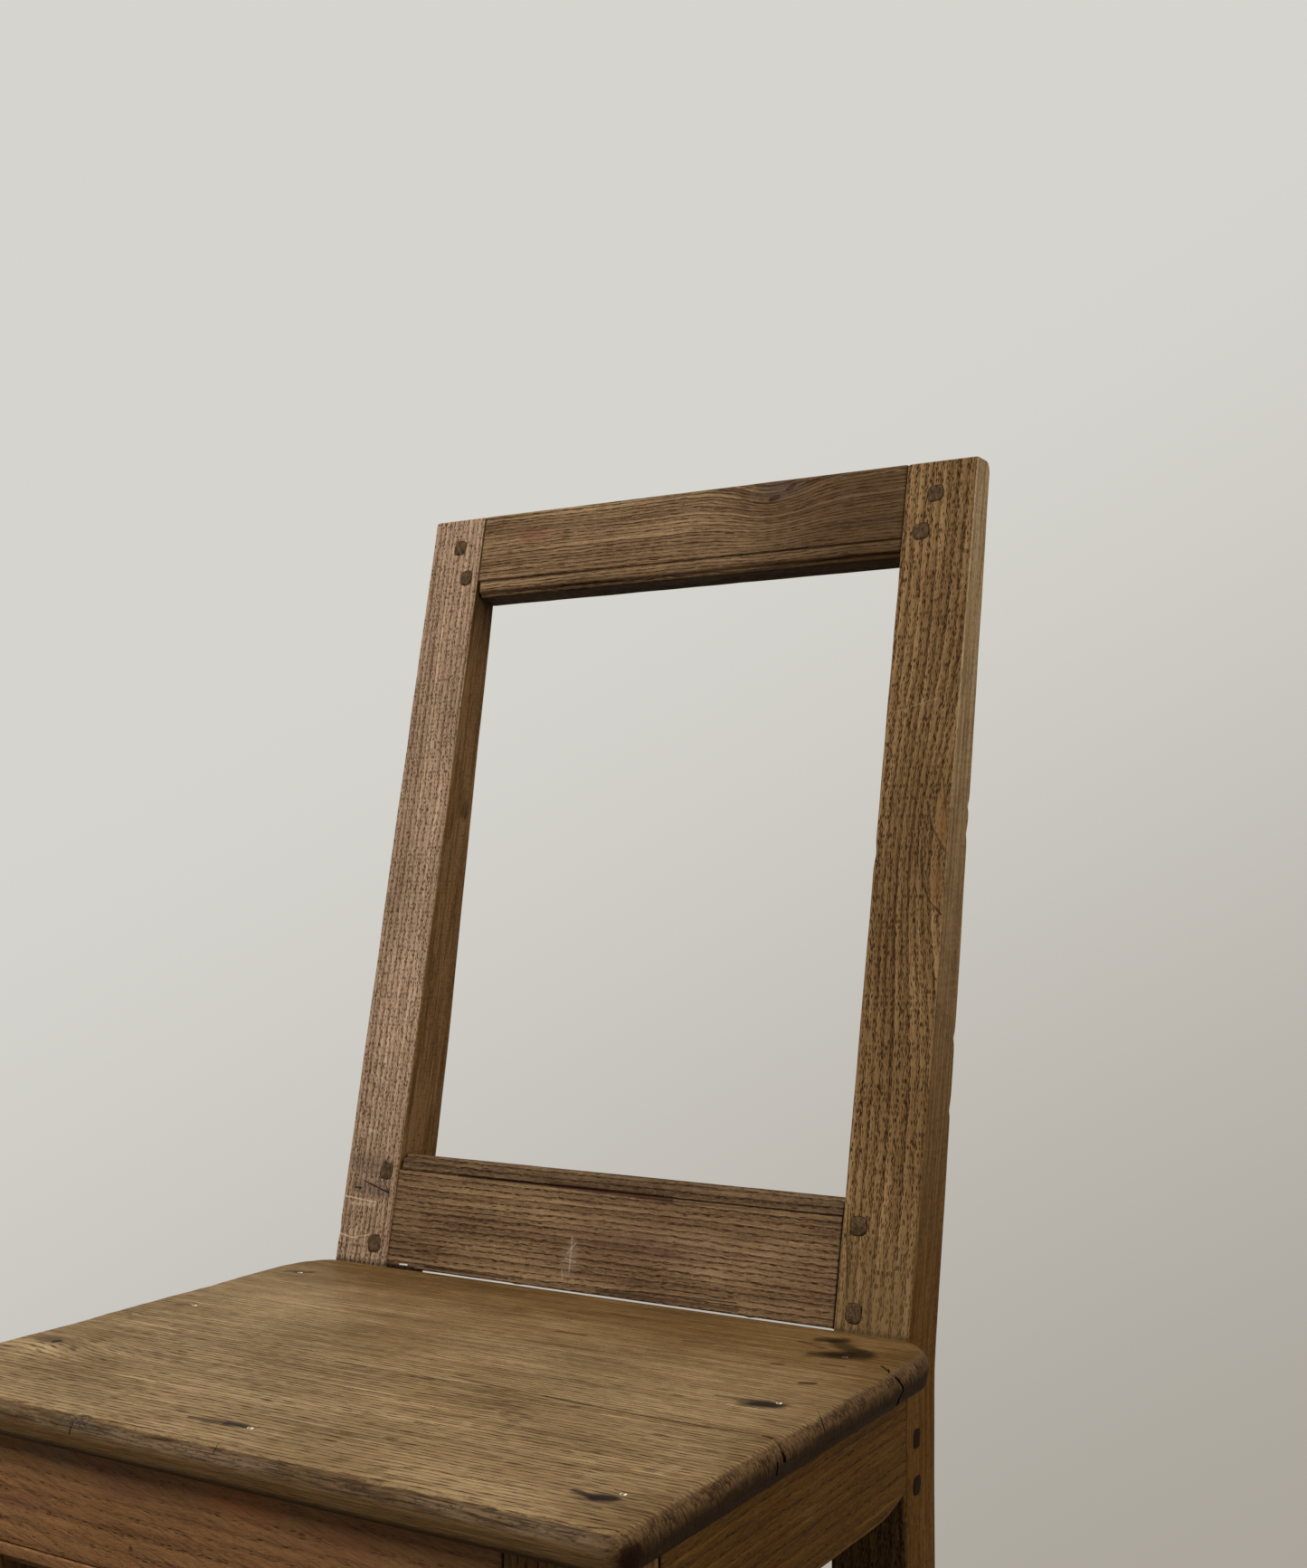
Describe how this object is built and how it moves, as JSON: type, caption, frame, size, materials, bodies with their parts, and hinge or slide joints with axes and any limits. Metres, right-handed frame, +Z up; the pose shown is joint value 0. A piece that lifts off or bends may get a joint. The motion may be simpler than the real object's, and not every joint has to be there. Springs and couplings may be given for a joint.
{
  "type": "side chair",
  "caption": "Rustic oak side chair with raked rear posts, moulded back rails, aprons and stretchers joined by pegged mortise and tenon, and a nailed plank seat.",
  "frame": {"origin": "centre of the chair's bounding box, on the floor under it", "axes": "+Z up; the chair faces -Y, so +Y points to its back; +X is to the right as seen from the front"},
  "size_m": [0.446, 0.4482, 0.9444],
  "materials": {
    "post_oak": "worn waxed oak, open grain, matt",
    "leg_oak": "worn waxed oak, open grain, matt",
    "rail_oak": "darker waxed oak with a scratched quirk and bead, matt",
    "seat_oak": "scrubbed and waxed oak plank, worn arrises, low sheen",
    "front_apron_oak": "reddish brown waxed oak, matt",
    "side_apron_oak": "olive brown waxed oak, matt",
    "stretcher_oak": "worn waxed oak, matt",
    "peg_oak": "grey brown end grain of riven oak pegs",
    "nail_iron": "hand-forged iron nail, rubbed bright on the crown"
  },
  "bodies": {
    "root": {"rear_post_left": "post_oak", "rear_post_right": "post_oak", "front_leg_left": "leg_oak", "front_leg_right": "leg_oak", "top_rail": "rail_oak", "lower_back_rail": "rail_oak", "front_apron": "front_apron_oak", "rear_apron": "side_apron_oak", "side_apron_left": "side_apron_oak", "side_apron_right": "side_apron_oak", "front_stretcher": "stretcher_oak", "rear_stretcher": "stretcher_oak", "side_stretcher_left": "stretcher_oak", "side_stretcher_right": "stretcher_oak", "seat_board": "seat_oak", "peg_top_rail_left_1": "peg_oak", "peg_top_rail_left_2": "peg_oak", "peg_top_rail_right_1": "peg_oak", "peg_top_rail_right_2": "peg_oak", "peg_lower_rail_left_1": "peg_oak", "peg_lower_rail_left_2": "peg_oak", "peg_lower_rail_right_1": "peg_oak", "peg_lower_rail_right_2": "peg_oak", "peg_front_apron_left_1": "peg_oak", "peg_front_apron_left_2": "peg_oak", "peg_front_apron_right_1": "peg_oak", "peg_front_apron_right_2": "peg_oak", "peg_rear_apron_left_1": "peg_oak", "peg_rear_apron_left_2": "peg_oak", "peg_rear_apron_right_1": "peg_oak", "peg_rear_apron_right_2": "peg_oak", "peg_side_apron_left_front_1": "peg_oak", "peg_side_apron_left_front_2": "peg_oak", "peg_side_apron_left_rear_1": "peg_oak", "peg_side_apron_left_rear_2": "peg_oak", "peg_side_apron_right_front_1": "peg_oak", "peg_side_apron_right_front_2": "peg_oak", "peg_side_apron_right_rear_1": "peg_oak", "peg_side_apron_right_rear_2": "peg_oak", "peg_front_stretcher_1": "peg_oak", "peg_front_stretcher_2": "peg_oak", "peg_rear_stretcher_1": "peg_oak", "peg_rear_stretcher_2": "peg_oak", "peg_side_stretcher_left_1": "peg_oak", "peg_side_stretcher_left_2": "peg_oak", "peg_side_stretcher_right_1": "peg_oak", "peg_side_stretcher_right_2": "peg_oak", "seat_nail_1": "nail_iron", "seat_nail_2": "nail_iron", "seat_nail_3": "nail_iron", "seat_nail_4": "nail_iron", "seat_nail_5": "nail_iron", "seat_nail_6": "nail_iron", "seat_nail_7": "nail_iron"}
  },
  "joints": []
}
